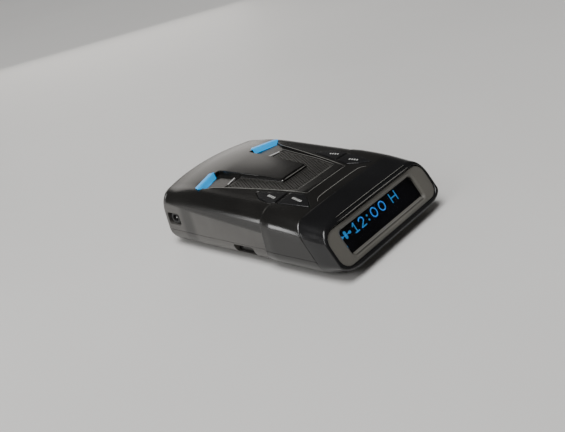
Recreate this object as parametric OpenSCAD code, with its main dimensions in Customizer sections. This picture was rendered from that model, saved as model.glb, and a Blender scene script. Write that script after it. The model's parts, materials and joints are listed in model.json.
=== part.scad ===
// Dashboard radar detector: two-part case, end collar with a tilted text display, nose window,
// speaker grille round a raised hump, four sprung buttons, two alert lenses and the works inside.
// Units are millimetres. X is to the right seen from the display end, Y points to the nose, Z up.
// The origin is the middle of the case's plan, on the surface that it rests on.

/* [Body] */
// Width across the rear housing
body_w = 73; // [72:0.5:74]
// Length from the lower lip of the collar to the nose
body_len = 113.5; // [113:0.5:115]
// Height of the parting line between the covers
part_z = 9; // [8.8:0.1:9.2]
// Wall of the sides and the floor
wall = 2; // [1.8:0.1:2.1]
// Wall under the top surface
top_wall = 2.6; // [2.4:0.1:2.8]
// How far the side panels ahead of the waist stand in from the rear housing
waist_step = 1.2; // [0.8:0.1:1.6]

/* [Display] */
// Lean of the display face from upright, in degrees
face_tilt = 30; // [29:0.5:31]
// Width of the face plate
plate_w = 69; // [68:0.5:69.5]
// Height of the face plate along its slope
plate_h = 16.2; // [15.8:0.1:16.4]
// Width of the display opening
window_w = 52.4; // [50:0.2:53]
// Height of the display opening
window_h = 11.4; // [10.8:0.1:11.6]

/* [Buttons] */
// Travel of each button
button_travel = 0.5; // [0.3:0.1:0.5]
// Gap between a button and the hole it moves in
button_gap = 0.2; // [0.15:0.05:0.3]

/* [Connectors] */
// Radius of the power jack's bore
jack_r = 1.8; // [1.7:0.05:1.9]
// Depth of the power jack's bore
jack_depth = 12; // [10:0.5:12]
// Clear width of the windshield bracket's slot
slot_w = 26; // [24:0.5:27]
// Clear height of the windshield bracket's slot
slot_h = 4.4; // [4.2:0.1:4.4]

/* [Grille] */
// Distance between the rows of openings
grille_pitch = 2.4; // [2.2:0.1:3]
// Width of each opening
grille_cut = 1.1; // [0.8:0.1:1.2]

/* [Hidden] */

$fn = 48;
eps = 0.05;
half_w = body_w / 2;
nose_y = body_len / 2;

// Display face: a point on its plane, and the row of the seam behind the collar.
face_z = 13;
face_y = 4.42 - nose_y;
seam_y = face_y + 11.6;
lean = tan(face_tilt);

// Corner shapes of the cross-section.
low_r = 11;
shoulder_h = 9;
crease = 0.71;
roundness = 2 / 2.6;
low_steps = 5;
shoulder_steps = 7;
crown_steps = 4;

// Nose: radius of its edge, how far the front bows back at the corners, and where the covers end.
nose_r = 7;
nose_bow = 6;
nose_drop = 1.2;
nose_seam = 20;
nose_start = nose_y - nose_r;

// Height of the crease along the case, and how much the middle of the top stands above it.
top_line = [[-48, 22.3], [-40, 23.5], [-31, 24.9], [-23, 25.6], [-10, 26.3], [5, 26.9],
    [20, 27.5], [30, 27.8], [40, 27.5], [49, 26.4], [60, 26]];
crown_line = [[-48, 0.3], [-31, 0.3], [-20, 0.6], [-6, 1.2], [10, 1.5], [30, 1.6], [45, 1.2],
    [55, 0.8]];
waist_y = -16;

// Sunken deck round the hump, in plan: the right half, from the step by the hump to the rear.
deck_side = [[12.8, 30.2], [26.2, 25.6], [23.5, 20.5], [17, -7.7], [13.6, -19.2]];
hump_side = [[8, -6], [10.6, 30.8]];
mesh_side = [[20.6, 17.6], [16.2, -7], [13, -18]];
deck_z = 26.42;
deck_slope = 1.02;
mesh_seat = 1;
mesh_t = 0.8;
mesh_ledge = 1;

// Buttons in plan, right side, each from its front end clockwise.
front_button = [[20.6, -2], [25, -7.5], [26.2, -12.5], [25.5, -16.6], [16.9, -16.6], [18.9, -9]];
rear_button = [[16.7, -17.6], [25.3, -17.6], [23.8, -26.5], [22.5, -32.4], [18, -28], [15.3, -24]];
button_at = [[21.5, -11], [20, -23.5]];
button_slope = [3.4, 5];
button_proud = 0.25;
stem_r = 1.6;
plunger_z = 15.4;
stem_z = plunger_z + button_travel + 0.1;
flange_w = 0.8;
flange_t = 1.2;
flange_gap = 0.75;
// Row that keeps the two flanges on one side apart.
flange_row = -17.1;

// Main board.
board_z = part_z;
board_t = 1.2;
board_top = board_z + board_t;
case_screw_at = [[28.2, -28], [27, 20]];
case_boss_r = 2.8;
case_split_z = 11;
board_screw_at = [[-28.5, 10], [28.5, 4], [-12, -33], [12, -33]];
post_r = 2.2;

// Connectors.
jack_at = [40.5, 14.8];
jack_barrel_r = 2.8;
jack_mouth_x = -33.9;
jack_face_x = -32;
jack_recess_w = 8.2;
jack_recess_h = 6;
usb_y = -1.5;
usb_notch_w = 11.6;
usb_notch_z = 3.8;
usb_notch_h = 4.5;
usb_face_x = -31.9;
slot_z = 18.5;
slot_back = 38.5;
slot_front = 48.5;
slot_wall = 0.8;

// Alert lenses in plan, right side: the foot of the sloping face, then the top's outline.
lens_foot = [[13.6, 29.4], [24.8, 25.4], [26.4, 28], [14.6, 31.6]];
lens_top = [[12.4, 31.1], [28.4, 26.6], [27.4, 29.4], [14.8, 32.8]];
lens_foot_z = 26;
lens_top_z = [29.1, 28.3];
led_at = [21, 28];

// Speaker.
speaker_y = 3;
speaker_r = 13;
speaker_top = 23;

// Smooth step from 0 at a to 1 at b.
function ease(a, b, y) = let (t = max(0, min(1, (y - a) / (b - a)))) t * t * (3 - 2 * t);
function reversed(list) = [for (i = [len(list) - 1:-1:0]) list[i]];
function flipped(list) = [for (p = list) [-p[0], p[1]]];
function mirrored(list) = reversed(flipped(list));
function tail(list) = [for (i = [1:len(list) - 1]) list[i]];

// How far a section leans, how far it bows, and its half width, at row y of the case.
function lean_at(y) = lean * (1 - ease(-40, -16, y));
function bow_at(y) = nose_bow * ease(18, nose_start, y);
function side_at(y) = half_w - waist_step * ease(waist_y, waist_y + 1.4, y)
    - 0.4 * ease(20, nose_start, y) - 0.5 * ease(-seam_y, -face_y, -y);
function crease_z(y) = lookup(y + lean_at(y) * (24 - face_z), top_line);
function crown_at(y) = lookup(y + lean_at(y) * (24 - face_z), crown_line);
function floor_at(y) = 4.6 * ease(-seam_y - 4, -face_y, -y);

// Cross-section halves, x from 0 to w. The lower half runs outward, the upper half runs inward.
function lower_half(w, low) = [for (i = [0:low_steps]) let (a = 90 * i / low_steps)
    [w - low_r + low_r * sin(a), low + (part_z - 0.5 - low) * (1 - cos(a))]];
function upper_half(w, high, crown) = let (xc = crease * w, zs = high - shoulder_h) concat(
    [for (i = [0:shoulder_steps]) let (a = 90 * i / shoulder_steps)
        [xc + (w - xc) * pow(cos(a), roundness), zs + shoulder_h * pow(sin(a), roundness)]],
    [for (i = [1:crown_steps]) let (x = xc * (1 - i / crown_steps))
        [x, high + crown * (1 - pow(x / xc, 2))]]);

// Whole paths from the right edge to the left edge, over the top or under the floor.
function over(w, high, crown) = let (h = concat([[w, part_z]], upper_half(w, high, crown)))
    concat(h, tail(mirrored(h)));
function under(w, low) = let (flat = [for (k = [0:3]) [(w - low_r) * k / 4, low]])
    let (h = reversed(concat(flat, lower_half(w, low), [[w, part_z]]))) concat(h, tail(mirrored(h)));

// A section's point in space.
function seat(p, y, w) =
    [p[0], y + lean_at(y) * (p[1] - face_z) - bow_at(y) * pow(p[0] / w, 2), p[1]];
function seated(path, y, w) = [for (p = path) seat(p, y, w)];

// Rows of the covers: [y, half width, crease height, crown, floor].
cover_rows = [for (y = [seam_y, -37, -33, -28, -22, -17.2, waist_y, waist_y + 0.7, waist_y + 1.4,
    -9, 0, 9, 18, 26, 33, 39, 44, 47, nose_start])
    [y, side_at(y), crease_z(y), crown_at(y), floor_at(y)]];
nose_first = cover_rows[len(cover_rows) - 1];
function nose_row(a, inset = 0) = let (s = 1 - cos(a), r = nose_r) [
    nose_start + (r - inset) * sin(a),
    nose_first[1] - inset - (r - inset) * s,
    nose_first[2] - inset - (r - inset) * s * nose_drop,
    nose_first[3] * (1 - sin(a) * 0.5),
    inset + (r - inset) * s];
all_rows = concat(cover_rows, [nose_row(nose_seam / 2), nose_row(nose_seam)]);

// Closed loops of an upper wall, a lower wall and a whole section.
function upper_loop(r) = concat(
    seated(over(r[1] - wall, r[2] - top_wall, 0), r[0], r[1]),
    reversed(seated(over(r[1], r[2], r[3]), r[0], r[1])));
function lower_loop(r) = concat(
    seated(under(r[1], r[4]), r[0], r[1]),
    reversed(seated(under(r[1] - wall, r[4] + wall), r[0], r[1])));
function ring(r, w) = let (low = under(r[1], r[4])) seated(concat(
    reversed(over(r[1], r[2], r[3])),
    tail(reversed(tail(reversed(low))))), r[0], w);
function inner_ring(r) = ring([r[0], r[1] - wall, r[2] - top_wall, 0, r[4] + wall], r[1]);

// Skins the loops into a closed solid. Strip caps join the outer path to the inner path, and
// tips, one point past each end loop, close it with fans.
module skin(loops, strip = false, tips = []) {
    n = len(loops[0]);
    last = n * (len(loops) - 1);
    tip = n * len(loops);
    walls = [for (k = [0:len(loops) - 2]) for (i = [0:n - 1]) let (j = (i + 1) % n)
        [k * n + i, (k + 1) * n + i, (k + 1) * n + j, k * n + j]];
    caps = strip
        ? concat([for (i = [0:n / 2 - 2]) [i, i + 1, n - 2 - i, n - 1 - i]],
            [for (i = [0:n / 2 - 2]) [last + n - 1 - i, last + n - 2 - i, last + i + 1, last + i]])
        : len(tips) == 2
        ? concat([for (i = [0:n - 1]) [i, (i + 1) % n, tip]],
            [for (i = [0:n - 1]) [last + (i + 1) % n, last + i, tip + 1]])
        : [[for (i = [0:n - 1]) i], [for (i = [n - 1:-1:0]) last + i]];
    points = [for (loop = loops) for (p = loop) p];
    polyhedron(points = concat(points, tips), faces = concat(walls, caps));
}

// Places children on the display face: X across, Y up the slope, Z out of the face.
module on_face() {
    translate([0, face_y, face_z]) rotate([90 - face_tilt, 0, 0]) children();
}
module rounded_rect(w, h, r) {
    square([w - 2 * r, h], center = true);
    square([w, h - 2 * r], center = true);
    for (sx = [-1, 1]) for (sy = [-1, 1])
        translate([sx * (w / 2 - r), sy * (h / 2 - r)]) circle(r);
}
module slab(w, h, r, z0, z1, up = 0) {
    translate([0, up, z0]) linear_extrude(z1 - z0) rounded_rect(w, h, r);
}
module block(x0, x1, y0, y1, z0, z1) {
    translate([x0, y0, z0]) cube([x1 - x0, y1 - y0, z1 - z0]);
}
module post(at, r, z0, z1) {
    translate([at[0], at[1], z0]) cylinder(r = r, h = z1 - z0);
}
module both_sides() {
    children();
    mirror([1, 0, 0]) children();
}

// U-shaped outline round the hump, made from an outer side, an end row, and the hump's sides.
function around_hump(side, grow = 0) = concat(side, mirrored(side),
    flipped([[hump_side[1][0] + grow, side[0][1]], [hump_side[0][0] + grow, hump_side[0][1] - grow]]),
    [[hump_side[0][0] + grow, hump_side[0][1] - grow], [hump_side[1][0] + grow, side[0][1]]]);
module on_deck(drop = 0) {
    translate([0, 0, deck_z - drop]) rotate([deck_slope, 0, 0]) children();
}

// ---- case ----

module case_boss_holes() {
    both_sides() for (at = case_screw_at) {
        post(at, 2.4, -1, 3);
        post(at, 1.25, 2, case_split_z + eps);
    }
}

module top_cover() {
    color([0.06, 0.06, 0.065]) difference() {
        union() {
            skin([for (r = all_rows) upper_loop(r)], strip = true);
            both_sides() {
                post(case_screw_at[0], case_boss_r, case_split_z, 22.8);
                post(case_screw_at[1], case_boss_r, case_split_z, 25.4);
            }
        }
        both_sides() for (at = case_screw_at) post(at, 1.15, case_split_z - eps, 18);
        on_deck() linear_extrude(5) polygon(around_hump(deck_side));
        on_deck(mesh_seat) linear_extrude(5) polygon(around_hump(mesh_side));
        on_deck(4) linear_extrude(6) offset(delta = -mesh_ledge) polygon(around_hump(mesh_side));
        both_sides() {
            button_prism(0, 20, 4, button_gap);
            button_prism(1, 18, 4, button_gap);
            alert_lens_body(0.08);
            translate([led_at[0] - 2.9, led_at[1] - 1.9, 20]) cube([5.8, 3.8, 7]);
        }
        block(-40, jack_face_x + 0.1, jack_at[0] - jack_recess_w / 2, jack_at[0] + jack_recess_w / 2,
            jack_at[1] - jack_recess_h / 2, jack_at[1] + jack_recess_h / 2);
    }
}

module bottom_cover() {
    color([0.07, 0.07, 0.075]) difference() {
        union() {
            skin([for (r = all_rows) lower_loop(r)], strip = true);
            both_sides() for (at = case_screw_at) {
                post(at, 3.4, 1.6, 5);
                post(at, case_boss_r, 1.6, case_split_z);
            }
            for (at = board_screw_at) post(at, post_r, 1.3, board_z);
            block(usb_face_x - 1.6, usb_face_x + 1.2, usb_y - usb_notch_w / 2 - 1,
                usb_y + usb_notch_w / 2 + 1, usb_notch_z - 1, part_z - 0.1);
        }
        case_boss_holes();
        for (at = board_screw_at) post(at, 0.9, 3, board_z + eps);
        block(-40, usb_face_x, usb_y - usb_notch_w / 2, usb_y + usb_notch_w / 2,
            usb_notch_z, usb_notch_z + usb_notch_h);
        block(usb_face_x - 1, usb_face_x + 3, usb_y - 4.1, usb_y + 4.1, 4.1, part_z + 1);
        block(-21, 21, -20, 4, -1, 0.2);
    }
}

// The collar's lip is rounded over its first millimetre, and then it runs straight to the seam.
lip_r = 1;
function collar_row(y, inset = 0) = [y, side_at(y) - inset, crease_z(y) - inset, crown_at(y),
    floor_at(y) + inset];

module end_collar() {
    lip = [for (a = [0:22.5:90]) collar_row(face_y + lip_r * (1 - cos(a)), lip_r * (1 - sin(a)))];
    body = [for (k = [1:4]) collar_row(face_y + lip_r + (seam_y - face_y - lip_r) * k / 4)];
    hollow = [for (k = [0:4]) collar_row(face_y + 3.7 + (seam_y - face_y - 3.6) * k / 4)];
    color([0.06, 0.06, 0.065]) difference() {
        skin([for (r = concat(lip, body)) ring(r, r[1])]);
        skin([for (r = hollow) inner_ring(r)]);
        on_face() {
            slab(plate_w + 0.3, plate_h + 0.3, 5.65, -2.3, 2, 0.85);
            slab(plate_w - 3, plate_h - 3, 4, -6, 2, 0.85);
        }
    }
}

// The nose is one cup: the inside from its tip back to the seam, then the outside to the tip.
tip_z = 12.5;
module nose_window() {
    turns = [for (k = [0:5]) nose_seam + (90 - nose_seam) * k / 5];
    shares = [0.66, 0.33];
    outside = [for (a = turns) nose_row(a)];
    inside = [for (a = tail(turns)) nose_row(a, wall)];
    function shrunk(r, k) = [for (p = ring(r, r[1]))
        [p[0] * k, r[0] - nose_bow * pow(p[0] * k / r[1], 2), tip_z + (p[2] - tip_z) * k]];
    color([0.05, 0.04, 0.045]) difference() {
        skin(concat(
            [for (k = reversed(shares)) shrunk(inside[4], k)],
            [for (r = reversed(inside)) ring(r, r[1])],
            [inner_ring(outside[0])],
            [for (r = outside) ring(r, r[1])],
            [for (k = shares) shrunk(outside[5], k)]),
            tips = [[0, inside[4][0], tip_z], [0, outside[5][0], tip_z]]);
        block(-slot_w / 2 - 0.2, slot_w / 2 + 0.2, 40, nose_y + 1, slot_z - 0.1,
            slot_z + slot_h + 0.1);
    }
}

module rating_label() {
    color([0.75, 0.75, 0.74]) block(-20.8, 20.8, -19.8, 3.8, 0.06, 0.2);
}

module case_screws() {
    color([0.55, 0.55, 0.57]) both_sides() for (at = case_screw_at) difference() {
        union() {
            post(at, 2.1, 1.4, 3);
            post(at, 1.1, 3, 17.5);
        }
        translate([at[0], at[1], 1]) for (a = [0, 90]) rotate([0, 0, a])
            cube([2.4, 0.6, 1.8], center = true);
    }
}

// ---- display end ----

module bezel_plate() {
    color([0.33, 0.32, 0.3]) on_face() difference() {
        slab(plate_w, plate_h, 5.5, -2.25, -0.6, 0.85);
        slab(window_w, window_h, 2, -3, 0, 0.8);
    }
}

module display_window() {
    color([0.02, 0.02, 0.03, 0.6]) on_face() slab(window_w + 4, window_h + 1.6, 2, -3.3, -2.3, 0.8);
}

module oled_panel() {
    color([0.02, 0.03, 0.06]) on_face() {
        slab(54, 11, 0.5, -5.1, -4, 0.8);
        slab(50, 8.6, 0.4, -4, -3.5, 1.6);
    }
}

module display_carrier() {
    color([0.05, 0.05, 0.05]) on_face() difference() {
        slab(58, 12.8, 1, -6.5, -3.4, 0.9);
        slab(54.3, 11.3, 0.6, -5.2, -3, 0.8);
        slab(44, 7, 0.6, -7, -3, 0.8);
    }
}

module display_board() {
    color([0.05, 0.25, 0.12]) on_face() slab(58, 12.4, 0.8, -7.8, -6.6, 1.2);
}

module display_socket() {
    color([0.85, 0.83, 0.75]) on_face() difference() {
        slab(14, 3.2, 0.3, -9.6, -7.85, 3);
        slab(12.4, 0.7, 0.1, -10, -8.6, 3);
    }
}

// Ribbon from the display board down to the main board, a band along one smooth curve.
ribbon = [[-43.2, 11.2], [-41.4, 10.15], [-39.5, 11.25], [-35, 11.25]];
ribbon_t = 0.3;
function curve(t) = let (s = 1 - t) s * s * s * ribbon[0] + 3 * s * s * t * ribbon[1]
    + 3 * s * t * t * ribbon[2] + t * t * t * ribbon[3];
function curve_side(t) = let (d = curve(t + 0.01) - curve(t - 0.01)) [-d[1], d[0]] / norm(d);
module flex_ribbon() {
    steps = [for (i = [0:12]) i / 12];
    color([0.75, 0.5, 0.15]) translate([-6, 0, 0]) rotate([90, 0, 90]) linear_extrude(12)
        polygon(concat([for (t = steps) curve(t) + curve_side(t) * ribbon_t / 2],
            reversed([for (t = steps) curve(t) - curve_side(t) * ribbon_t / 2])));
}

module main_socket() {
    color([0.85, 0.83, 0.75]) difference() {
        block(-7, 7, -36, -32.4, board_top, board_top + 2.1);
        block(-6.2, 6.2, -37, -34, board_top + 0.7, board_top + 1.4);
    }
}

// ---- buttons ----

module button_outline(i, grow = 0) {
    offset(delta = grow) polygon(i == 0 ? front_button : rear_button);
}
function button_top(i) = lookup(button_at[i][1], top_line) + button_proud;

// A slanted prism over button i's outline, from down below its top face to up above it.
module button_prism(i, bottom, up, grow = 0) {
    at = button_at[i];
    intersection() {
        translate([0, at[1], button_top(i)]) rotate([button_slope[i], 0, 0])
            translate([0, -at[1], up - 30]) linear_extrude(30) button_outline(i, grow);
        block(0, 40, -60, 20, bottom, 60);
    }
}
module button(i) {
    at = button_at[i];
    roof = lookup(at[1], top_line) - top_wall;
    union() {
        button_prism(i, roof - flange_gap - flange_t + eps, 0);
        translate([0, at[1], roof - flange_gap]) rotate([button_slope[i], 0, 0])
            translate([0, -at[1], -flange_t]) linear_extrude(flange_t) intersection() {
                button_outline(i, flange_w);
                translate([0, flange_row + (i == 0 ? 0.2 : -60.2)]) square([26, 60]);
            }
        post(at, stem_r, stem_z, roof - flange_gap - flange_t / 2);
    }
}
module tact_switch(i) {
    at = button_at[i];
    color([0.15, 0.15, 0.16]) block(at[0] - 3, at[0] + 3, at[1] - 3, at[1] + 3, board_top, 13.7);
    color([0.85, 0.85, 0.8]) post(at, 1.75, 13.7, plunger_z);
}
module button_front_right() { color([0.09, 0.09, 0.1]) button(0); }
module button_rear_right() { color([0.09, 0.09, 0.1]) button(1); }
module button_front_left() { color([0.09, 0.09, 0.1]) mirror([1, 0, 0]) button(0); }
module button_rear_left() { color([0.09, 0.09, 0.1]) mirror([1, 0, 0]) button(1); }
module switch_front_right() { tact_switch(0); }
module switch_rear_right() { tact_switch(1); }
module switch_front_left() { mirror([1, 0, 0]) tact_switch(0); }
module switch_rear_left() { mirror([1, 0, 0]) tact_switch(1); }

// ---- grille, speaker and alert lenses ----

module speaker_grille() {
    rows = [-26:2 * grille_pitch / sqrt(3):34];
    inner = 0.9;
    color([0.2, 0.2, 0.19]) on_deck(mesh_seat) difference() {
        linear_extrude(mesh_t) offset(delta = -0.1) polygon(around_hump(mesh_side));
        linear_extrude(mesh_t * 3, center = true) intersection() {
            offset(delta = -inner - 0.2) polygon(around_hump(mesh_side));
            for (y = rows) translate([0, y]) rotate([0, 0, 60]) square([120, grille_cut], center = true);
        }
    }
}

module speaker_frame() {
    color([0.3, 0.3, 0.31]) translate([0, speaker_y, 0]) difference() {
        union() {
            translate([0, 0, speaker_top - 1]) cylinder(r = speaker_r, h = 1);
            translate([0, 0, 19]) cylinder(r1 = 8, r2 = 12, h = speaker_top - 20 + eps);
            translate([0, 0, 18.2]) cylinder(r = 8, h = 0.85);
        }
        translate([0, 0, 19.1]) cylinder(r1 = 7.2, r2 = 11, h = speaker_top - 19.9);
        translate([0, 0, 21.9]) cylinder(r = 11, h = 2);
        translate([0, 0, 18]) cylinder(r = 4, h = 3);
    }
}

module speaker_cone() {
    color([0.12, 0.12, 0.13]) translate([0, speaker_y, 0]) rotate_extrude()
        polygon([[0, 20.9], [3.6, 20.3], [10.6, 22.2], [10.6, 22.6], [3.6, 20.8], [0, 21.6]]);
}

module speaker_magnet() {
    color([0.4, 0.4, 0.42]) translate([0, speaker_y, 0]) {
        translate([0, 0, 15.8]) cylinder(r = 7, h = 2.35);
        translate([0, 0, 18.15]) cylinder(r = 3.4, h = 1.6);
    }
}

module speaker_gasket() {
    color([0.1, 0.1, 0.1]) translate([0, speaker_y, speaker_top]) difference() {
        cylinder(r = speaker_r, h = 0.6);
        translate([0, 0, -1]) cylinder(r = 11.2, h = 3);
    }
}

// Alert lens: a bar with a sloping rear face, and the light pipe below it.
module alert_lens_body(grow = 0) {
    foot = [for (i = [0:3]) concat(lens_foot[i], lens_foot_z)];
    top = [for (i = [0:3]) concat(lens_top[i], lens_top_z[i == 1 || i == 2 ? 1 : 0])];
    middle = [20.4, 29.2, 27.4];
    grown = [for (p = concat(foot, top)) p + (p - middle) / norm(p - middle) * grow * 1.6];
    hull() polyhedron(points = grown, faces = [[0, 1, 2, 3], [4, 7, 6, 5], [0, 4, 5, 1],
        [1, 5, 6, 2], [2, 6, 7, 3], [3, 7, 4, 0]]);
}
module alert_lens() {
    color([0.25, 0.68, 0.95]) union() {
        alert_lens_body();
        block(led_at[0] - 2.5, led_at[0] + 2.5, led_at[1] - 1.5, led_at[1] + 1.5, 12.6, 27);
    }
}
module alert_led() {
    color([0.9, 0.9, 0.8]) block(led_at[0] - 1.6, led_at[0] + 1.6, led_at[1] - 1.4,
        led_at[1] + 1.4, board_top, 12.1);
}
module alert_lens_right() { alert_lens(); }
module alert_lens_left() { mirror([1, 0, 0]) alert_lens(); }
module alert_led_right() { alert_led(); }
module alert_led_left() { mirror([1, 0, 0]) alert_led(); }

// ---- works ----

module main_board() {
    color([0.05, 0.27, 0.13]) difference() {
        translate([0, 0, board_z]) linear_extrude(board_t) polygon([[-31.5, -36], [31.5, -36],
            [31.5, 34], [27, 39], [19, 39], [19, 13], [-19, 13], [-19, 44.5], [-29, 44.5],
            [-31.5, 40]]);
        both_sides() for (at = case_screw_at) {
            post(at, case_boss_r + 0.3, 0, 20);
            block(at[0], 40, at[1] - case_boss_r - 0.3, at[1] + case_boss_r + 0.3, 0, 20);
        }
        for (at = board_screw_at) post(at, 1.1, 0, 20);
    }
}

module board_screws() {
    color([0.7, 0.7, 0.72]) for (at = board_screw_at) difference() {
        union() {
            post(at, 1.8, board_top, board_top + 1.2);
            post(at, 0.85, 4, board_top + 0.1);
        }
        translate([at[0], at[1], board_top + 1.2]) for (a = [0, 90]) rotate([0, 0, a])
            cube([2, 0.5, 1.2], center = true);
    }
}

module rf_shield() {
    color([0.75, 0.75, 0.76]) difference() {
        block(-13, 13, -12, 12, board_top, 15);
        block(-12.6, 12.6, -11.6, 11.6, board_top - 1, 14.6);
    }
}

// Horn: mouth behind the nose window, tapering back to a closed waveguide.
horn_mid = 10.6;
horn_mouth = 49.5;
horn_throat = 26;
module horn_step(y, w, h) {
    translate([0, y, horn_mid]) cube([w, 0.02, h], center = true);
}
module horn_antenna() {
    color([0.7, 0.71, 0.72]) difference() {
        union() {
            hull() {
                horn_step(horn_mouth, 32, 13);
                horn_step(horn_throat, 14, 8);
            }
            block(-7, 7, 14, horn_throat, horn_mid - 4, horn_mid + 4);
        }
        hull() {
            horn_step(horn_mouth + 0.1, 29.4, 10.4);
            horn_step(horn_throat, 10.7, 4.3);
        }
        block(-5.35, 5.35, 16, horn_throat + 0.1, horn_mid - 2.15, horn_mid + 2.15);
    }
}

module laser_detector() {
    color([0.1, 0.1, 0.11]) block(21, 29, 30, 38, board_top, 16.2);
}

module laser_lens() {
    color([0.5, 0.1, 0.1]) translate([25, 38.2, 13.2]) rotate([-90, 0, 0]) {
        cylinder(r = 3, h = 1);
        translate([0, 0, 1 - eps]) intersection() {
            cylinder(r = 3, h = 3);
            translate([0, 0, -3.2]) sphere(r = 5);
        }
    }
}

module processor_chip() {
    color([0.08, 0.08, 0.08]) block(-5, 5, -26, -16, board_top, board_top + 1.4);
}

module audio_chip() {
    color([0.08, 0.08, 0.08]) block(8, 13, -27, -21, board_top, board_top + 1.6);
}

module capacitors() {
    color([0.2, 0.25, 0.4]) for (at = [[-10.5, -22], [-27, 28.5], [27, 12.5]])
        post(at, 2.5, board_top, board_top + 6);
}

module power_jack() {
    color([0.06, 0.06, 0.06]) difference() {
        union() {
            block(jack_face_x, -20.4, jack_at[0] - 4, jack_at[0] + 4, board_top, 19);
            translate([jack_mouth_x, jack_at[0], jack_at[1]]) rotate([0, 90, 0])
                cylinder(r = jack_barrel_r, h = 4);
        }
        translate([jack_mouth_x - 1, jack_at[0], jack_at[1]]) rotate([0, 90, 0])
            cylinder(r = jack_r, h = jack_depth + 1);
    }
}

module usb_jack() {
    color([0.72, 0.72, 0.74]) difference() {
        block(usb_face_x + 0.1, -24, usb_y - 3.9, usb_y + 3.9, 4.3, board_z);
        block(usb_face_x - 1, -25, usb_y - 3.4, usb_y + 3.4, 4.8, 8.4);
    }
    color([0.1, 0.1, 0.1]) block(-30.5, -25.5, usb_y - 2.6, usb_y + 2.6, 6.2, 7.0);
    color([0.1, 0.1, 0.1]) block(-25.5, -24.5, usb_y - 2.6, usb_y + 2.6, 6.2, 7.0);
}

module bracket_socket() {
    t = slot_wall;
    color([0.12, 0.12, 0.12]) difference() {
        block(-slot_w / 2 - t, slot_w / 2 + t, slot_back - t, slot_front, slot_z - t,
            slot_z + slot_h + t);
        block(-slot_w / 2, slot_w / 2, slot_back, slot_front + 1, slot_z, slot_z + slot_h);
        block(-4, 4, slot_back - 2, slot_back + 1, slot_z + 1, slot_z + 3);
    }
}

// Leaf clip behind the slot: it holds the bracket's tongue from below the roof.
module bracket_clip() {
    color([0.78, 0.78, 0.8]) {
        block(-3.4, 3.4, slot_back - 3.4, slot_back - 0.9, slot_z - 0.2, slot_z + 0.2);
        block(-3.4, 3.4, slot_back - 3.4, slot_back - 3, slot_z + 0.1, slot_z + 2.2);
        block(-3.4, 3.4, slot_back - 3.4, slot_back + 0.6, slot_z + 1.8, slot_z + 2.2);
    }
}

top_cover();
bottom_cover();
end_collar();
nose_window();
bezel_plate();
display_window();
oled_panel();
display_carrier();
display_board();
display_socket();
flex_ribbon();
main_socket();
main_board();
rf_shield();
horn_antenna();
laser_lens();
laser_detector();
speaker_frame();
speaker_cone();
speaker_magnet();
speaker_gasket();
speaker_grille();
alert_lens_left();
alert_lens_right();
alert_led_left();
alert_led_right();
button_front_left();
button_rear_left();
button_front_right();
button_rear_right();
switch_front_left();
switch_rear_left();
switch_front_right();
switch_rear_right();
power_jack();
usb_jack();
bracket_socket();
bracket_clip();
processor_chip();
audio_chip();
capacitors();
case_screws();
board_screws();
rating_label();
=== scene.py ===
import json
import math

import bmesh
import bpy
import numpy as np
from mathutils import Matrix, Vector
from mathutils.geometry import delaunay_2d_cdt


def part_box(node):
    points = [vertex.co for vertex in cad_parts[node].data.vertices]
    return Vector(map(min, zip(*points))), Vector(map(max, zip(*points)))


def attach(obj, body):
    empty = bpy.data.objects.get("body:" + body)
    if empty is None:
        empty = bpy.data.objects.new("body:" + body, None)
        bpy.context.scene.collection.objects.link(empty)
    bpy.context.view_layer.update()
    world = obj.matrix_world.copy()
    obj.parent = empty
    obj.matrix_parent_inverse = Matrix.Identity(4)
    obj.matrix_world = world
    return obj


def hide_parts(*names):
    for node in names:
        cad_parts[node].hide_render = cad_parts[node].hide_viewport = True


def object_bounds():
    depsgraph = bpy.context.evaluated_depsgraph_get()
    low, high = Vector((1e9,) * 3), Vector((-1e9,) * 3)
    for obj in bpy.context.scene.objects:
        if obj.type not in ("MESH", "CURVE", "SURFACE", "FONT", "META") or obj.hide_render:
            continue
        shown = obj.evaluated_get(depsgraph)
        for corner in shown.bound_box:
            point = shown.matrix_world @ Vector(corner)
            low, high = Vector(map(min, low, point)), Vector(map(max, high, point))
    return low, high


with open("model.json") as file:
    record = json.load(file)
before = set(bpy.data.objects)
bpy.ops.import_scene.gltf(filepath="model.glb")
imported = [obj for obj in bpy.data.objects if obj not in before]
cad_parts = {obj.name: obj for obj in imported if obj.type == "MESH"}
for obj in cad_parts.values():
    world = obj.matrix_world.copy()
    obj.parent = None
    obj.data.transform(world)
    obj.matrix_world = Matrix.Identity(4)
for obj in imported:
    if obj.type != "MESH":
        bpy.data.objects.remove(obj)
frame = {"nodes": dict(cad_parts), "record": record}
cad_low, cad_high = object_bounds()

MM = 0.001
CASE = "case"

# ---------------------------------------------------------------- driving sizes

SIZE = (np.array(cad_high) - np.array(cad_low)) / MM
HALF_W = SIZE[0] / 2
NOSE_Y = cad_high[1] / MM
PART_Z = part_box("top_cover")[0][2] / MM
WALL = 2.0
TOP_WALL = 2.6
TILT = math.radians(30)
LEAN = math.tan(TILT)
FACE_Z = 13.0
FACE_Y = 4.42 - NOSE_Y
SEAM_Y = FACE_Y + 11.6
WAIST_Y = -16.0
WAIST_STEP = 1.2
LOW_R = 11.0
SHOULDER_H = 9.0
CREASE = 0.71
ROUNDNESS = 2 / 2.6
NOSE_R = 7.0
NOSE_BOW = 6.0
NOSE_DROP = 1.2
NOSE_SEAM = math.radians(20)
NOSE_START = NOSE_Y - NOSE_R
TIP_Z = 12.5

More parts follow.
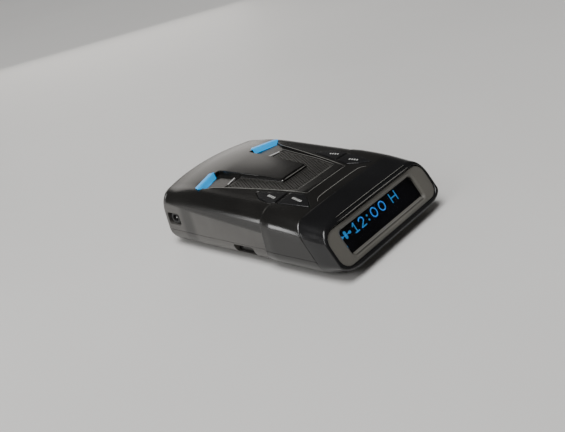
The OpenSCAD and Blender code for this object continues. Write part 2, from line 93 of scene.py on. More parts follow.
TOP_LINE = [(-48, 22.3), (-40, 23.5), (-31, 24.9), (-23, 25.6), (-10, 26.3), (5, 26.9),
            (20, 27.5), (30, 27.8), (40, 27.5), (49, 26.4), (60, 26)]
CROWN_LINE = [(-48, 0.3), (-31, 0.3), (-20, 0.6), (-6, 1.2), (10, 1.5), (30, 1.6), (45, 1.2),
              (55, 0.8)]
DECK_Z = 26.42
DECK_SLOPE = math.tan(math.radians(1.02))
DECK_SIDE = [(12.8, 30.2), (26.0, 25.7), (23.5, 20.5), (17, -7.7), (13.5, -24.2)]
HUMP_SIDE = [(8, -6), (10.55, 30.2)]
MESH_SIDE = [(20.6, 17.6), (16.2, -7), (13, -18)]
FRONT_BUTTON = [(20.6, -2), (25, -7.5), (26.2, -12.5), (25.5, -16.6), (16.9, -16.6), (18.9, -9)]
REAR_BUTTON = [(16.7, -17.6), (25.3, -17.6), (23.8, -26.5), (22.5, -32.4), (18, -28), (15.3, -24)]
BUTTON_PROUD = 0.25
BUTTON_GAP = 0.2
BUTTON_POCKET = 4.2
BUTTON_DEPTH = 3.6
BUTTON_SIDES = {"front": FRONT_BUTTON, "rear": REAR_BUTTON}
STEM_AT = {"front": (21.5, -11.0), "rear": (20.0, -23.5)}
STEM_R = 1.6
STEM_TOP = 23.4
WELL_DROP = 1.0
SPEAKER_SIDE = [(19.4, 16.6), (15.2, -7.4), (12.2, -17)]
SPEAKER_DROP = 5
BEHIND_COVER = -40
RECESS_X = -31.9
JACK_Z = 14.8
JACK_RECESS = (4.1, 3)
USB_HALF_W = 5.8
USB_Z = (3.8, 8.3)
SCREW_AT = [(28.2, -28), (27, 20)]
SCREW_POCKET_R = 2.4
SCREW_POCKET_TOP = 3.0
LABEL_SIZE = (41.2, 23.2)
LABEL_GAP = 0.4
LABEL_Y = -8
BRACKET_SLOT = (26.4, 4.6)


# ---------------------------------------------------------------- the case's surface

def lookup(table, y):
    """The table's value at y, with its corners softened over a few millimetres."""
    xs, zs = zip(*table)
    return sum(np.interp(np.asarray(y, float) + d, xs, zs) for d in (-4, -2, 0, 2, 4)) / 5


def ease(a, b, y):
    t = np.clip((np.asarray(y, float) - a) / (b - a), 0, 1)
    return t * t * (3 - 2 * t)


def lean_at(y):
    return LEAN * (1 - ease(-40, -16, y))


def bow_at(y):
    return NOSE_BOW * ease(18, NOSE_START, y)


def side_at(y):
    return (HALF_W - WAIST_STEP * (0.4 * ease(WAIST_Y - 5, WAIST_Y + 0.3, y)
                                   + 0.6 * ease(WAIST_Y + 0.1, WAIST_Y + 1.1, y))
            - 0.4 * ease(20, NOSE_START, y) - 0.5 * ease(-SEAM_Y, -FACE_Y, -y))


def crease_z(y):
    return lookup(TOP_LINE, y + lean_at(y) * (24 - FACE_Z))


def crown_at(y):
    return lookup(CROWN_LINE, y + lean_at(y) * (24 - FACE_Z))


def floor_at(y):
    return 4.6 * ease(-SEAM_Y - 4, -FACE_Y, -y)


def section_z(x, w, high, crown):
    """Height of the upper outline above x."""
    x = np.abs(x)
    xc = CREASE * w
    t = np.clip((x - xc) / (w - xc), 0, 1)
    cos = t ** (1 / ROUNDNESS)
    shoulder = high - SHOULDER_H + SHOULDER_H * np.sqrt(np.maximum(1 - cos * cos, 0)) ** ROUNDNESS
    return np.where(x <= xc, high + crown * (1 - (x / xc) ** 2), shoulder)


def top_z(x, y):
    """Height of the case's outer surface above a point of the plan."""
    x = np.asarray(x, float)
    y = np.asarray(y, float)
    row = y.copy()
    for _ in range(8):
        w = side_at(row)
        z = section_z(x, w, crease_z(row), crown_at(row))
        row = y - lean_at(row) * (z - FACE_Z) + bow_at(row) * (x / w) ** 2
    return z


def deck_z(x, y, drop=0.0):
    return DECK_Z + DECK_SLOPE * np.asarray(y, float) - drop + 0 * np.asarray(x, float)


def row_at(y):
    return (y, float(side_at(y)), float(crease_z(y)), float(crown_at(y)), float(floor_at(y)))


def nose_row(a, inset=0.0):
    _, w, high, crown, _ = row_at(NOSE_START)
    s = 1 - math.cos(a)
    r = NOSE_R - inset
    return (NOSE_START + r * math.sin(a), w - inset - r * s, high - inset - r * s * NOSE_DROP,
            crown * (1 - math.sin(a) * 0.5), inset + r * s)


def inset_row(row, d):
    y, w, high, crown, low = row
    return (y, w - d, high - d, crown, low + d)


def mirrored(half):
    """A half outline that ends at x = 0, and its other half."""
    return half + [(-x, z) for x, z in reversed(half[:-1])]


def over(row, edge=0.0, steps=(7, 14, 14)):
    """Outline from the right edge over the top to the left edge. edge rounds its ends."""
    _, w, high, crown, _ = row
    side_n, shoulder_n, crown_n = steps
    xc, zs = CREASE * w, high - SHOULDER_H
    half = []
    if edge:
        half += [(w - edge, PART_Z + 0.3 * edge), (w - 0.3 * edge, PART_Z + 0.55 * edge)]
    start = PART_Z + 1.4 * edge
    half += [(w, start + (zs - start) * k / side_n) for k in range(side_n)]
    for k in range(shoulder_n + 1):
        a = math.pi / 2 * k / shoulder_n
        half.append((xc + (w - xc) * max(math.cos(a), 0) ** ROUNDNESS,
                     zs + SHOULDER_H * math.sin(a) ** ROUNDNESS))
    for k in range(1, crown_n + 1):
        x = xc * (1 - k / crown_n)
        half.append((x, high + crown * (1 - (x / xc) ** 2)))
    return mirrored(half)


def under(row, edge=0.0, steps=(10, 8)):
    """Outline from the right edge under the floor to the left edge."""
    _, w, _, _, low = row
    corner_n, flat_n = steps
    half = []
    if edge:
        half += [(w - edge, PART_Z - 0.3 * edge), (w - 0.3 * edge, PART_Z - 0.55 * edge)]
    else:
        half.append((w, PART_Z))
    top = PART_Z - 1.4 * edge if edge else PART_Z - 0.5
    for k in range(corner_n + 1):
        a = math.pi / 2 * (1 - k / corner_n)
        half.append((w - LOW_R + LOW_R * math.sin(a), low + (top - low) * (1 - math.cos(a))))
    half += [((w - LOW_R) * (1 - k / flat_n), low) for k in range(1, flat_n + 1)]
    return mirrored(half)


def seated(path, y, w):
    """A section's outline in space, with its lean and the nose's bow."""
    return np.array([(x, y + lean_at(y) * (z - FACE_Z) - bow_at(y) * (x / w) ** 2, z)
                     for x, z in path], float)


def ring(row):
    """The whole outline: over the top from the left to the right, then back under."""
    top = over(row)[::-1]
    low = under(row)
    return seated(top + low[1:-1], row[0], row[1])


# ---------------------------------------------------------------- mesh helpers

def loft(loops, caps=True):
    """Vertices and faces of a tube through closed loops of equal length."""
    n = len(loops[0])
    verts = [tuple(p) for loop in loops for p in loop]
    faces = [(k * n + i, k * n + (i + 1) % n, (k + 1) * n + (i + 1) % n, (k + 1) * n + i)
             for k in range(len(loops) - 1) for i in range(n)]
    if caps:
        faces.append(tuple(range(n))[::-1])
        faces.append(tuple(range((len(loops) - 1) * n, len(loops) * n)))
    return verts, faces


def wall_loft(outers, inners):
    """A thick wall: open outer and inner paths at each row, joined at their ends."""
    loops = [np.concatenate([o, i[::-1]]) for o, i in zip(outers, inners)]
    n, m = len(loops[0]), len(outers[0])
    verts, faces = loft(loops, caps=False)
    last = (len(loops) - 1) * n
    for base, turn in ((0, 1), (last, -1)):
        for i in range(m - 1):
            j = n - 1 - i
            faces.append(tuple(base + q for q in (i, i + 1, j - 1, j)[::-turn]))
    return verts, faces


def raw(name, verts, faces):
    mesh = bpy.data.meshes.new(name)
    mesh.from_pydata([(x * MM, y * MM, z * MM) for x, y, z in verts], [], faces)
    mesh.validate()
    obj = bpy.data.objects.new(name, mesh)
    bpy.context.collection.objects.link(obj)
    bpy.context.view_layer.objects.active = obj
    bm = bmesh_of(obj)
    bm.to_mesh(mesh)
    bm.free()
    return obj


def bmesh_of(obj):
    bm = bmesh.new()
    bm.from_mesh(obj.data)
    bmesh.ops.remove_doubles(bm, verts=bm.verts, dist=1e-7)
    bmesh.ops.recalc_face_normals(bm, faces=bm.faces)
    return bm


def evaluated(obj):
    """Applies the object's modifiers."""
    graph = bpy.context.evaluated_depsgraph_get()
    mesh = bpy.data.meshes.new_from_object(obj.evaluated_get(graph))
    obj.modifiers.clear()
    obj.data = mesh


def carve(obj, cutters, operation="DIFFERENCE"):
    for cutter in cutters:
        cut = obj.modifiers.new("cut", "BOOLEAN")
        cut.operation = operation
        cut.solver = "MANIFOLD"
        cut.object = cutter
        evaluated(obj)
        bpy.data.objects.remove(cutter)


def bevel(obj, width, segments=3, angle=35):
    edge = obj.modifiers.new("edge", "BEVEL")
    edge.width = width * MM
    edge.segments = segments
    edge.limit_method = "ANGLE"
    edge.angle_limit = math.radians(angle)
    evaluated(obj)


def finished(obj, material, body=CASE, stands_for=(), sharp=32, weighted=True):
    """Gives a piece its shading, its material and its place in the frame."""
    mesh = obj.data
    mesh.shade_smooth()
    mesh.set_sharp_from_angle(angle=math.radians(sharp))
    if weighted:
        normals = obj.modifiers.new("normals", "WEIGHTED_NORMAL")
        normals.keep_sharp = True
        normals.weight = 60
    mesh.materials.clear()
    mesh.materials.append(material)
    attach(obj, body)
    if stands_for:
        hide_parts(*stands_for)
    return obj


def grown(points, d):
    """A closed outline moved outwards by d, for outlines that run counter-clockwise."""
    p = np.array(points, float)
    e = np.roll(p, -1, 0) - p
    e /= np.linalg.norm(e, axis=1)[:, None]
    n = np.stack([e[:, 1], -e[:, 0]], 1)
    m = n + np.roll(n, 1, 0)
    length = np.linalg.norm(m, axis=1)[:, None]
    m = m / np.maximum(length, 1e-9)
    cos = np.maximum((m * n).sum(1), 0.5)[:, None]
    return p + m * d / cos


def ccw(points):
    p = np.array(points, float)
    area = (p[:, 0] * np.roll(p[:, 1], -1) - np.roll(p[:, 0], -1) * p[:, 1]).sum()
    return p if area > 0 else p[::-1]


def softened(points, r, step=1.2, arc=4):
    """An outline with corners of radius r and points no further apart than step."""
    p = ccw(points)
    out = []
    for a, b, c in zip(np.roll(p, 1, 0), p, np.roll(p, -1, 0)):
        u, v = (a - b) / np.linalg.norm(a - b), (c - b) / np.linalg.norm(c - b)
        half = math.acos(np.clip(u @ v, -1, 1)) / 2
        t = min(r / math.tan(half), 0.45 * np.linalg.norm(a - b), 0.45 * np.linalg.norm(c - b))
        for k in range(arc + 1):
            s = k / arc
            out.append((1 - s) ** 2 * (b + u * t) + 2 * s * (1 - s) * b + s * s * (b + v * t))
    dense = []
    for a, b in zip(out, out[1:] + out[:1]):
        gap = np.linalg.norm(b - a)
        if gap < 1e-6:
            continue
        n = max(1, math.ceil(gap / step))
        dense += [a + (b - a) * k / n for k in range(n)]
    return np.array(dense)


def flipped(points):
    return ccw([(-x, y) for x, y in points])


def around_hump(side, grow=0.0):
    """U-shaped outline: the outer side, the rear row, the other side, and round the hump."""
    front = side[0][1]
    (x0, y0), (x1, y1) = HUMP_SIDE
    xf = x0 + (x1 - x0) * (front - y0) / (y1 - y0) + grow
    left = [(-x, y) for x, y in reversed(side)]
    return list(side) + left + [(-xf, front), (-x0 - grow, y0 - grow), (x0 + grow, y0 - grow),
                                (xf, front)]


def rim_cutter(name, outline, floor, surface=top_z, lip=0.3):
    """A cutter with upright walls whose mouth flares out along a rounded edge."""
    loops = []
    steps = [(0, None)] + [(lip * (1 - math.cos(a)), -lip + lip * math.sin(a))
                           for a in (0, 0.45, 0.9, 1.25)] + [(lip * 0.72, 1.5)]
    for d, h in steps:
        p = grown(outline, d)
        z = floor(p[:, 0], p[:, 1]) if h is None else surface(p[:, 0], p[:, 1]) + h
        loops.append(np.column_stack([p, z]))
    return raw(name, *loft(loops))


def filled(outline, height, step):
    """Triangles over an outline, with inner points on a grid, at heights from a function."""
    p = np.array(outline)
    lo, hi = p.min(0), p.max(0)
    inner = []
    for gx in np.arange(lo[0] + step / 2, hi[0], step):
        for gy in np.arange(lo[1] + step / 2, hi[1], step):
            inside = False
            for (x1, y1), (x2, y2) in zip(p, np.roll(p, -1, 0)):
                if (y1 > gy) != (y2 > gy) and gx < (x2 - x1) * (gy - y1) / (y2 - y1) + x1:
                    inside = not inside
            edge = np.linalg.norm(p - (gx, gy), axis=1).min()
            if inside and edge > step * 0.5:
                inner.append((gx, gy))
    n = len(p)
    coords = [Vector(q) for q in p] + [Vector(q) for q in inner]
    result = delaunay_2d_cdt(coords, [], [list(range(n))], 1, 1e-6)
    xy = np.array([tuple(v) for v in result[0]])
    z = height(xy[:, 0], xy[:, 1])
    return np.column_stack([xy, z]), [tuple(f) for f in result[2]]


def pillow(outline, surface, depth, lip=0.25, step=1.2):
    """A solid over an outline: its top follows a surface and its rim is rounded."""
    loops = []
    p = grown(outline, 0)
    loops.append(np.column_stack([p, surface(p[:, 0], p[:, 1]) - depth]))
    for a in (0, 0.4, 0.8, 1.2):
        p = grown(outline, -lip * (1 - math.cos(a)))
        loops.append(np.column_stack([p, surface(p[:, 0], p[:, 1]) - lip + lip * math.sin(a)]))
    verts, faces = loft(loops, caps=False)
    n = len(outline)
    faces.append(tuple(range(n))[::-1])
    top = grown(outline, -lip * (1 - math.cos(1.2)) - 0.05)
    cap_v, cap_f = filled(top, surface, step)
    base = len(verts)
    verts += [tuple(v) for v in cap_v]
    faces += [tuple(base + i for i in f) for f in cap_f]
    ring_at = base - n
    order = [int(np.linalg.norm(cap_v[:, :2] - q, axis=1).argmin()) for q in top]
    faces += [(ring_at + i, ring_at + (i + 1) % n, base + order[(i + 1) % n], base + order[i])
              for i in range(n)]
    return verts, faces


def tube(path, radius, sides=10, closed=False):
    """A round bar along points in space."""
    p = [Vector(q) for q in path]
    loops = []
    for i, at in enumerate(p):
        ahead = p[(i + 1) % len(p)] if closed or i < len(p) - 1 else p[i]
        behind = p[i - 1] if closed or i > 0 else p[i]
        t = (ahead - behind).normalized()
        side = t.cross(Vector((0, 0, 1))).normalized()
        up = side.cross(t)
        r = radius(i / (len(p) - 1)) if callable(radius) else radius
        loops.append([tuple(at + side * math.cos(a) * r + up * math.sin(a) * r)
                      for a in (2 * math.pi * k / sides for k in range(sides))])
    if closed:
        loops.append(loops[0])
    return loft(loops, caps=not closed)


def joined(*parts):
    verts, faces = [], []
    for v, f in parts:
        base = len(verts)
        verts += [tuple(q) for q in v]
        faces += [tuple(base + i for i in face) for face in f]
    return verts, faces


# ---------------------------------------------------------------- the display face

def face_point(u, v, out=0.0):
    """A point on the display face: u across, v up the slope, out of the face."""
    return (u, FACE_Y + v * math.sin(TILT) - out * math.cos(TILT),
            FACE_Z + v * math.cos(TILT) + out * math.sin(TILT))


def rounded_rect(w, h, r, up=0.0, arc=8, flat=(18, 5)):
    """Counter-clockwise outline, with the same number of points for any size."""
    pts = []
    corners = [(1, -1), (1, 1), (-1, 1), (-1, -1)]
    for k, (sx, sy) in enumerate(corners):
        cx, cy = sx * (w / 2 - r), sy * (h / 2 - r)
        start = -math.pi / 2 + k * math.pi / 2
        for i in range(arc + 1):
            a = start + math.pi / 2 * i / arc
            pts.append((cx + r * math.cos(a), cy + r * math.sin(a) + up))
        n = flat[1] if k % 2 == 0 else flat[0]
        nxt = corners[(k + 1) % 4]
        a = start + math.pi / 2
        end = (nxt[0] * (w / 2 - r) + r * math.cos(a), nxt[1] * (h / 2 - r) + r * math.sin(a) + up)
        first = pts[-1]
        pts += [(first[0] + (end[0] - first[0]) * i / n, first[1] + (end[1] - first[1]) * i / n)
                for i in range(1, n)]
    return np.array(pts)


def on_face(outline, out):
    return np.array([face_point(u, v, out) for u, v in outline])


def face_slab(outline, low, high, lip=0.15):
    """A flat piece on the face with a rounded front rim."""
    loops = [on_face(outline, low)]
    for a in (0, 0.5, 1.0, math.pi / 2):
        loops.append(on_face(grown(outline, -lip * (1 - math.cos(a))), high - lip + lip * math.sin(a)))
    return loft(loops)


# ---------------------------------------------------------------- materials

COAT_ROUGH = 0.08
GRAIN_DEPTH = 0.06 * MM
SUBSURFACE_DEPTH = 2 * MM
# side panel mask: a painted sheen lightens the panels where they mirror the pale floor, its top edge where
# that mirrored floor ends, and a painted shade band behind the nose
PANEL_EDGE_X = (31.5, 33)
PANEL_TOP_Z = (19.0, 17.2)
PANEL_RISE = 0.09
PAINTED_SHADE_Y = 31
PAINTED_SHADE_HALF = (1.5, 5.5)
PAINTED_SHADE_TONE = 0.35

def math_node(tree, operation, *values):
    node = tree.nodes.new("ShaderNodeMath")
    node.operation = operation
    for socket, value in zip(node.inputs, values):
        if isinstance(value, (int, float)):
            socket.default_value = value
        else:
            tree.links.new(value, socket)
    return node.outputs[0]


def fade(tree, value, start, end, low=0.0, high=1.0):
    """A smooth step from low at start to high at end."""
    node = tree.nodes.new("ShaderNodeMapRange")
    node.interpolation_type = "SMOOTHSTEP"
    for name, number in (("From Min", start), ("From Max", end), ("To Min", low), ("To Max", high)):
        node.inputs[name].default_value = number
    tree.links.new(value, node.inputs["Value"])
    return node.outputs["Result"]


def satin_and_painted_sheen_mask(tree, position):
    """Where the recessed side panels are rougher, and a painted sheen that lightens them for the pale floor
    they mirror, less in a band of painted shade behind the nose.
    """
    split = tree.nodes.new("ShaderNodeSeparateXYZ")
    tree.links.new(position, split.inputs["Vector"])
    x, y, z = split.outputs
    outer = fade(tree, math_node(tree, "ABSOLUTE", x), *(PANEL_EDGE_X[k] * MM for k in (0, 1)))
    below = fade(tree, math_node(tree, "MULTIPLY_ADD", y, -PANEL_RISE, z),
                 *(PANEL_TOP_Z[k] * MM for k in (0, 1)))
    ahead = fade(tree, y, (WAIST_Y + 0.7) * MM, (WAIST_Y + 1.3) * MM)
    off_painted_shade_stripe = math_node(tree, "ABSOLUTE", math_node(tree, "SUBTRACT", y, PAINTED_SHADE_Y * MM))
    painted_shade_stripe = fade(tree, off_painted_shade_stripe, PAINTED_SHADE_HALF[0] * MM, PAINTED_SHADE_HALF[1] * MM, PAINTED_SHADE_TONE, 1.0)
    both = math_node(tree, "MULTIPLY", outer, below)
    panel = math_node(tree, "MULTIPLY", both, ahead)
    return panel, math_node(tree, "MULTIPLY", panel, painted_shade_stripe)


def shader(name, color, rough, spread=0.06, tone=0.25, grain=900.0, bump=0.04, blotch=35.0,
           metallic=0.0, ior=1.5, coat=0.0, alpha=1.0, emission=None, strength=0.0, subsurface=0.0,
           satin=None):
    """Procedural finish: large soft blotches in tone, and a fine moulded grain in roughness and bump.

    The side-panel argument lightens the side panels' tone with a painted sheen for the floor they mirror, and
    makes them rougher."""
    mat = bpy.data.materials.new(name)
    mat.use_nodes = True
    tree = mat.node_tree
    nodes, links = tree.nodes, tree.links
    bsdf = nodes["Principled BSDF"]
    where = nodes.new("ShaderNodeTexCoord")
    large = nodes.new("ShaderNodeTexNoise")
    large.inputs["Scale"].default_value = blotch
    large.inputs["Detail"].default_value = 4
    fine = nodes.new("ShaderNodeTexNoise")
    fine.inputs["Scale"].default_value = grain
    fine.inputs["Detail"].default_value = 3
    for node in (large, fine):
        links.new(where.outputs["Object"], node.inputs["Vector"])
    ramp = nodes.new("ShaderNodeValToRGB")
    dark = [c * (1 - tone) for c in color]
    light = [min(1, c * (1 + tone)) for c in color]
    ramp.color_ramp.elements[0].position = 0.3
    ramp.color_ramp.elements[1].position = 0.7
    ramp.color_ramp.elements[0].color = (*dark, 1)
    ramp.color_ramp.elements[1].color = (*light, 1)
    links.new(large.outputs["Fac"], ramp.inputs["Fac"])
    blend = nodes.new("ShaderNodeMapRange")
    blend.inputs["To Min"].default_value = max(0.02, rough - spread)
    blend.inputs["To Max"].default_value = min(1, rough + spread)
    links.new(fine.outputs["Fac"], blend.inputs["Value"])
    if satin:
        painted_sheen_gain, rougher = satin
        panel, painted_sheen_panel = satin_and_painted_sheen_mask(tree, where.outputs["Object"])
        # painted sheen: the base colour is made lighter on the side panels, less in the painted shade band
        scale = math_node(tree, "MULTIPLY_ADD", painted_sheen_panel, painted_sheen_gain - 1, 1)
        painted_sheen_lift = nodes.new("ShaderNodeVectorMath")
        painted_sheen_lift.operation = "SCALE"
        links.new(ramp.outputs["Color"], painted_sheen_lift.inputs[0])
        links.new(scale, painted_sheen_lift.inputs["Scale"])
        links.new(painted_sheen_lift.outputs["Vector"], bsdf.inputs["Base Color"])
        links.new(math_node(tree, "MULTIPLY_ADD", panel, rougher, blend.outputs["Result"]),
                  bsdf.inputs["Roughness"])
    else:
        links.new(ramp.outputs["Color"], bsdf.inputs["Base Color"])
        links.new(blend.outputs["Result"], bsdf.inputs["Roughness"])
    relief = nodes.new("ShaderNodeBump")
    relief.inputs["Strength"].default_value = bump
    relief.inputs["Distance"].default_value = GRAIN_DEPTH
    links.new(fine.outputs["Fac"], relief.inputs["Height"])
    links.new(relief.outputs["Normal"], bsdf.inputs["Normal"])
    bsdf.inputs["Metallic"].default_value = metallic
    bsdf.inputs["IOR"].default_value = ior
    bsdf.inputs["Coat Weight"].default_value = coat
    bsdf.inputs["Coat Roughness"].default_value = COAT_ROUGH
    bsdf.inputs["Alpha"].default_value = alpha
    bsdf.inputs["Subsurface Weight"].default_value = subsurface
    if subsurface:
        bsdf.inputs["Subsurface Scale"].default_value = SUBSURFACE_DEPTH
    if emission:
        bsdf.inputs["Emission Color"].default_value = (*emission, 1)
        bsdf.inputs["Emission Strength"].default_value = strength
    return mat


# the case and the nose get a painted sheen on their side panels: base colour 6.8 and 5 times lighter there
CASE_BLACK = shader("case_black", (0.0125, 0.012, 0.0112), 0.2, 0.04, 0.25, 1400, 0.012, ior=1.58,
                    satin=(6.8, 0.2))
COLLAR_BLACK = shader("collar_black", (0.009, 0.009, 0.0095), 0.17, 0.03, 0.25, 1400, 0.01, ior=1.5)
NOSE_TINT = shader("nose_tint", (0.0105, 0.0095, 0.0095), 0.17, 0.03, 0.25, 1200, 0.01, ior=1.58,
                   satin=(5, 0.15))
FACE_GREY = shader("face_grey", (0.12, 0.115, 0.102), 0.36, 0.08, 0.12, 2200, 0.1)
WINDOW = shader("window_glass", (0.003, 0.003, 0.005), 0.06, 0.01, 0.2, 700, 0.002, alpha=0.45)
OLED = shader("oled_glass", (0.002, 0.003, 0.007), 0.3, 0.03, 0.3, 900, 0.004)
GLYPH = shader("glyph_blue", (0.02, 0.35, 0.8), 0.5, 0.05, 0.1, 900, 0.02,
               emission=(0.05, 0.36, 0.85), strength=1.5)
LENS_BLUE = shader("lens_blue", (0.008, 0.36, 0.84), 0.2, 0.05, 0.1, 1300, 0.03, blotch=120,
                   coat=0.4, subsurface=0.15, emission=(0.0, 0.36, 0.80), strength=0.42)
BUTTON = shader("button_black", (0.011, 0.011, 0.0115), 0.24, 0.05, 0.3, 2400, 0.03, ior=1.52)
PRINT = shader("print_white", (0.62, 0.62, 0.6), 0.5, 0.08, 0.12, 3000, 0.1)
GRILLE = shader("grille_metal", (0.05, 0.048, 0.044), 0.38, 0.08, 0.3, 1800, 0.1, metallic=0.3)
# near-white for painted highlights: the grille's end strips and the hump's corner dot
PAINTED_HIGHLIGHT_WHITE = shader("painted_highlight_white", (0.78, 0.77, 0.75), 0.3, 0.06, 0.08, 1600, 0.05)
# light grey for fine beads that are painted highlight lines along edges
PAINTED_EDGE_HIGHLIGHT = shader("painted_edge_highlight", (0.22, 0.215, 0.2), 0.25, 0.05, 0.12, 1600, 0.04, ior=1.58)
INNER = shader("inner_plastic", (0.03, 0.03, 0.03), 0.55, 0.1, 0.25, 1500, 0.12)
BOARD = shader("board_green", (0.02, 0.13, 0.05), 0.4, 0.1, 0.3, 700, 0.1, blotch=220)
CHIP = shader("chip_black", (0.02, 0.02, 0.02), 0.6, 0.1, 0.3, 1800, 0.2)
IVORY = shader("connector_ivory", (0.66, 0.62, 0.5), 0.5, 0.1, 0.1, 1500, 0.1)
AMBER = shader("ribbon_amber", (0.55, 0.27, 0.05), 0.35, 0.08, 0.2, 600, 0.05)
STEEL = shader("plated_steel", (0.62, 0.62, 0.62), 0.28, 0.1, 0.12, 1600, 0.1, metallic=1.0)
SCREW = shader("screw_steel", (0.36, 0.36, 0.37), 0.32, 0.1, 0.2, 2000, 0.15, metallic=1.0)
HORN = shader("horn_metal", (0.7, 0.7, 0.71), 0.4, 0.1, 0.1, 900, 0.2, metallic=1.0)
PAPER = shader("speaker_paper", (0.06, 0.06, 0.065), 0.85, 0.1, 0.3, 1100, 0.5)
INFRARED = shader("infrared_lens", (0.12, 0.006, 0.008), 0.1, 0.04, 0.2, 900, 0.03)
LED = shader("led_white", (0.8, 0.8, 0.68), 0.3, 0.08, 0.08, 900, 0.05)
SLEEVE = shader("capacitor_sleeve", (0.06, 0.09, 0.2), 0.3, 0.08, 0.2, 700, 0.05)
LABEL = shader("label_silver", (0.5, 0.5, 0.49), 0.42, 0.1, 0.08, 2600, 0.12)

BY_SLOT = {"case": CASE_BLACK, "collar": COLLAR_BLACK, "nose": NOSE_TINT, "face": FACE_GREY,
           "window": WINDOW, "oled": OLED, "alert_lens": LENS_BLUE, "button": BUTTON,
           "grille": GRILLE, "inner_plastic": INNER, "board": BOARD, "chip": CHIP,
           "connector": IVORY, "ribbon": AMBER, "plated_steel": STEEL, "screw_steel": SCREW,
           "horn_metal": HORN, "speaker_paper": PAPER, "foam": PAPER, "infrared_lens": INFRARED,
           "led": LED, "capacitor_sleeve": SLEEVE, "label": LABEL}
for part in frame["record"]["subparts"]:
    node = frame["nodes"][part["node"]]
    node.data.materials.clear()
    node.data.materials.append(BY_SLOT[part["material_slot"]])

# ---------------------------------------------------------------- covers

EDGE = 0.16
cover_ys = sorted(set(np.round(np.concatenate([
    np.arange(SEAM_Y + 1.2, NOSE_START, 1.15), np.linspace(WAIST_Y - 0.5, WAIST_Y + 1.5, 13)]), 3)))


def edge_rows(y, inward):
    """Rows that round a cover's end at a seam, running into the cover."""
    return [inset_row(row_at(y + inward * t), d)
            for t, d in ((0.02, EDGE), (0.1, 0.1), (0.3, 0.02), (0.6, 0))]


def nose_edge(a, sign):
    """Rows that round an end at the nose seam, starting at the seam."""
    step = 1 / NOSE_R
    return [inset_row(nose_row(a + sign * t * step), d)
            for t, d in ((0.03, EDGE), (0.12, 0.1), (0.3, 0.02), (0.55, 0))]


GROOVE_A = NOSE_SEAM - 1.5 / NOSE_R
groove = [inset_row(nose_row(GROOVE_A + t / NOSE_R), d)
          for t, d in ((-0.35, 0), (-0.15, 0.07), (0, 0.16), (0.15, 0.07), (0.35, 0))]
rows = (edge_rows(SEAM_Y + 0.06, 1) + [row_at(y) for y in cover_ys] + [row_at(NOSE_START)]
        + [nose_row(0.04), nose_row(0.09)] + groove + nose_edge(NOSE_SEAM, -1)[::-1])

top = raw("top_cover_shell", *wall_loft(
    [seated(over(r, EDGE), r[0], r[1]) for r in rows],
    [seated(over((r[0], r[1] - WALL, r[2] - TOP_WALL, 0, r[4]), EDGE), r[0], r[1]) for r in rows]))
bottom = raw("bottom_cover_shell", *wall_loft(
    [seated(under(r, EDGE), r[0], r[1]) for r in rows],
    [seated(under((r[0], r[1] - WALL, r[2], 0, r[4] + WALL), EDGE), r[0], r[1]) for r in rows]))


LENS_FOOT = [(13.6, 29.4), (24.8, 25.4), (26.4, 28), (14.6, 31.6)]
LENS_TOP = [(12.4, 31.1), (28.4, 26.6), (27.4, 29.4), (14.8, 32.8)]
LENS_HIGH = (29.1, 28.3, 28.3, 29.1)
LENS_Z = 26.0
POCKET_FOOT = [(13.4, 29.0), (24.8, 25.0), (25.7, 26.4), (26.6, 28.1), (14.5, 31.8)]
POCKET_TOP = [(11.9, 29.5), (24.8, 25.0), (29.4, 26.2), (28.4, 30.0), (14.8, 33.5)]
for sx in (1, -1):
    loops = []
    for points, z in ((POCKET_FOOT, LENS_Z - 0.1), (POCKET_TOP, 30.6)):
        loop = [(sx * x, y, z) for x, y in points]
        loops.append(loop if sx > 0 else loop[::-1])
    carve(top, [raw("lens_cut", *loft(loops))])
deck = softened(around_hump(DECK_SIDE), 0.5)
carve(top, [rim_cutter("deck_cut", deck, deck_z, lip=0.28)])
well = softened(around_hump(MESH_SIDE), 0.4)
carve(top, [rim_cutter("well_cut", well, lambda x, y: deck_z(x, y, WELL_DROP), surface=deck_z, lip=0.2)])
through = softened(around_hump(SPEAKER_SIDE, 0.9), 0.4)
carve(top, [rim_cutter("speaker_cut", through, lambda x, y: deck_z(x, y, SPEAKER_DROP),
                       surface=lambda x, y: deck_z(x, y) - 0.7, lip=0.1)])
button_outlines = {}
for row_name, outline in BUTTON_SIDES.items():
    for side in ("right", "left"):
        shape = softened(outline if side == "right" else flipped(outline), 0.55, 0.9)
        button_outlines[f"{row_name}_{side}"] = shape
        carve(top, [rim_cutter("button_cut", grown(shape, BUTTON_GAP),
                               lambda x, y: top_z(x, y) - BUTTON_POCKET, lip=0.22)])


def box_cutter(name, x0, x1, y0, y1, z0, z1, r=0.5):
    """An upright-walled box cutter along X with rounded corners in the YZ plane."""
    pts = rounded_rect(y1 - y0, z1 - z0, r, arc=4, flat=(2, 2))
    cy, cz = (y0 + y1) / 2, (z0 + z1) / 2
    return raw(name, *loft([[(x, cy + u, cz + v) for u, v in pts] for x in (x0, x1)]))


